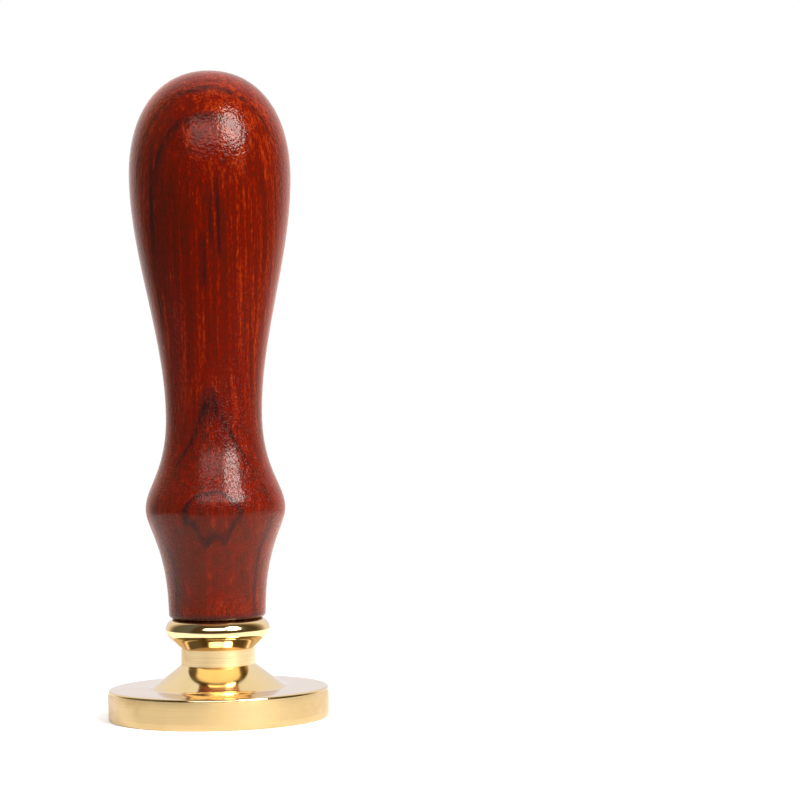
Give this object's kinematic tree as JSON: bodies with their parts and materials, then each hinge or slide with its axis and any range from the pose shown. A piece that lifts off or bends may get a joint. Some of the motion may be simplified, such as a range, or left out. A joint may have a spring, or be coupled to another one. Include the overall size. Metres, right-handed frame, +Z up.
{
  "type": "wax seal stamp",
  "caption": "Wax seal stamp: a turned wooden handle on a steel stud that screws into a brass head, with a daisy engraved in the head's round sealing face.",
  "frame": {"origin": "centre of the flat sealing face, on the turning axis, at the bottom of the stamp", "axes": "+Z up the turning axis, from the sealing face to the crown of the handle"},
  "size_m": [0.03, 0.03, 0.0881],
  "materials": {
    "lacquered_wood": "red-brown stain under glossy lacquer",
    "steel": "plain zinc-plated steel",
    "brass": "polished, with a satin rim and neck"
  },
  "bodies": {
    "head": {"head": "brass"},
    "stud": {"stud": "steel"},
    "handle": {"handle": "lacquered_wood"}
  },
  "joints": [
    {"name": "unscrew_lift", "type": "slide", "parent": "head", "child": "stud", "axis": [0, 0, 1], "range_m": [0, 0.008]},
    {"name": "unscrew_turn", "type": "hinge", "parent": "stud", "child": "handle", "pos_m": [0, 0, 0.01365], "axis": [0, 0, 1], "range_deg": [0, 2880]}
  ],
  "couplings": [
    {"joint": "unscrew_lift", "follows": "unscrew_turn", "m_per_rad": 0.00015915}
  ]
}
